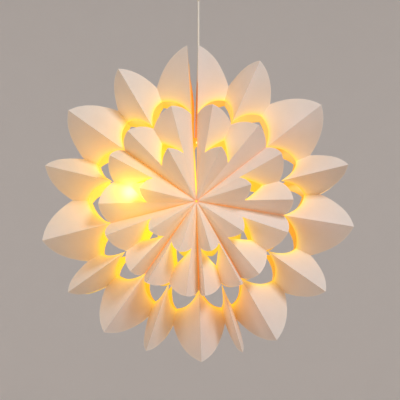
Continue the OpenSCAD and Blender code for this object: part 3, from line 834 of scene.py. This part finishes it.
def grip_material():
    """Moulded plastic with a painted bright spot, where the lamp shines through the punched hole,
    and a dim painted orange glow over the rest.
    """
    material, _ = grained_material(
        "grip_plastic", (0.80, 0.74, 0.64), (0.88, 0.83, 0.74), 0.4, 1400.0, 0.00008
    )
    value, blend = node_maker(material)
    off_spot = value("DIVIDE", distance_from(material, LEAK_ON_GRIP), LEAK_RADIUS)
    off_spot = value("MINIMUM", off_spot, 1.0)
    shader = material.node_tree.nodes["Principled BSDF"]
    glow = blend("MIX", value("POWER", off_spot, 3.0), PAINTED_LEAK_SPOT, PAINTED_GRIP_GLOW)
    material.node_tree.links.new(glow, shader.inputs["Emission Color"])
    shader.inputs["Emission Strength"].default_value = 1.0
    return material


def bulb_material():
    """Opal glass that glows, brightest on its crown, and a brass cap below the glass."""
    material, glass = grained_material(
        "opal_glass", (0.90, 0.80, 0.62), (0.97, 0.90, 0.76), 0.2, 300.0, 0.00005
    )
    links = material.node_tree.links
    value, blend = node_maker(material)
    shader = material.node_tree.nodes["Principled BSDF"]
    from_centre = distance_from(material, BULB_CENTRE)
    on_cap = value("GREATER_THAN", from_centre, GLASS_ENDS_R)
    past_globe = value("SUBTRACT", from_centre, GLOBE_RADIUS)
    dimmer = value("DIVIDE", past_globe, GLASS_ENDS_R - GLOBE_RADIUS)
    dimmer = value("MINIMUM", value("MAXIMUM", dimmer, 0.0), 1.0)
    glow = blend("MIX", dimmer, CROWN_GLOW, NECK_GLOW)
    links.new(blend("MIX", on_cap, glow, (0.0, 0.0, 0.0, 1.0)), shader.inputs["Emission Color"])
    links.new(blend("MIX", on_cap, glass, BRASS), shader.inputs["Base Color"])
    links.new(on_cap, shader.inputs["Metallic"])
    shader.inputs["Emission Strength"].default_value = BULB_STRENGTH
    return material


moulded_white, _ = grained_material(
    "holder_plastic", (0.80, 0.78, 0.72), (0.88, 0.86, 0.81), 0.4, 1400.0, 0.00008
)
glazed_ceramic, _ = grained_material(
    "contact_ceramic", (0.70, 0.65, 0.55), (0.80, 0.76, 0.67), 0.3, 900.0, 0.00008
)
wood_dowel, _ = grained_material(
    "bar_wood", (0.50, 0.35, 0.20), (0.70, 0.55, 0.37), 0.6, 700.0, 0.00015
)
finishes = {
    "lamp_bulb": bulb_material(),
    "contact_base": glazed_ceramic,
    "hanging_bar": wood_dowel,
    "cord_grip": grip_material(),
}
for node in ("holder_sleeve", "holder_cap", "hanging_eye"):
    finishes[node] = moulded_white
for node, finish in finishes.items():
    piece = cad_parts[node]
    piece.data.materials.clear()
    piece.data.materials.append(finish)


# The room: a plain pale floor, 2 m below the hanging star, that curves up into a round wall, so
# that it is behind the star from every side and from below. Soft studio light falls from the
# upper right, with a weaker, warmer fill from the left.
ROOM_RADIUS, ROOM_FLOOR, ROOM_TOP, ROOM_CURVE = 3.1, -2.5, 4.2, 0.9
ROOM_SIDES, CURVE_STEPS, FLOOR_RINGS = 96, 12, 4
STUDIO_COLOUR, STUDIO_STRENGTH = (1.0, 0.93, 0.87, 1.0), 0.16


def pale_room():
    inner = ROOM_RADIUS - ROOM_CURVE
    profile = [(inner * k / FLOOR_RINGS, ROOM_FLOOR) for k in range(1, FLOOR_RINGS + 1)]
    for k in range(1, CURVE_STEPS + 1):
        turn = math.radians(90 * k / CURVE_STEPS)
        out, up = ROOM_CURVE * math.sin(turn), ROOM_CURVE * (1 - math.cos(turn))
        profile.append((inner + out, ROOM_FLOOR + up))
    profile.append((ROOM_RADIUS, ROOM_TOP))
    mesh = bmesh.new()
    rings = []
    turns = [2 * math.pi * k / ROOM_SIDES for k in range(ROOM_SIDES)]
    for radius, height in profile:
        places = [(radius * math.cos(t), radius * math.sin(t), height) for t in turns]
        rings.append([mesh.verts.new(place) for place in places])
    mesh.faces.new(rings[0])
    for low, high in zip(rings, rings[1:]):
        for k in range(ROOM_SIDES):
            after = (k + 1) % ROOM_SIDES
            mesh.faces.new((low[k], high[k], high[after], low[after]))
    room = object_from_bmesh("pale_room", mesh, 60)
    card, _ = grained_material(
        "pale_card", (0.86, 0.82, 0.79), (0.88, 0.84, 0.81), 0.9, 120.0, 0.0002
    )
    room.data.materials.append(card)


def soft_light(name, place, size, power, colour):
    data = bpy.data.lights.new(name, "AREA")
    data.shape = "DISK"
    data.size = size
    data.energy = power
    data.color = colour
    light = bpy.data.objects.new(name, data)
    light.location = place
    light.visible_camera = False
    light.rotation_euler = (STAR_CENTRE - Vector(place)).to_track_quat("-Z", "Y").to_euler()
    bpy.context.collection.objects.link(light)


pale_room()
soft_light("key_light", (1.2, -2.0, 1.4), 0.9, 45.0, (0.93, 0.96, 1.0))
soft_light("fill_light", (-2.2, -1.8, -0.3), 1.6, 12.5, (1.0, 0.89, 0.81))
world = bpy.data.worlds.new("studio")
bpy.context.scene.world = world
world.use_nodes = True
background = world.node_tree.nodes["Background"]
background.inputs["Color"].default_value = STUDIO_COLOUR
background.inputs["Strength"].default_value = STUDIO_STRENGTH
bpy.context.scene.view_settings.view_transform = "Standard"
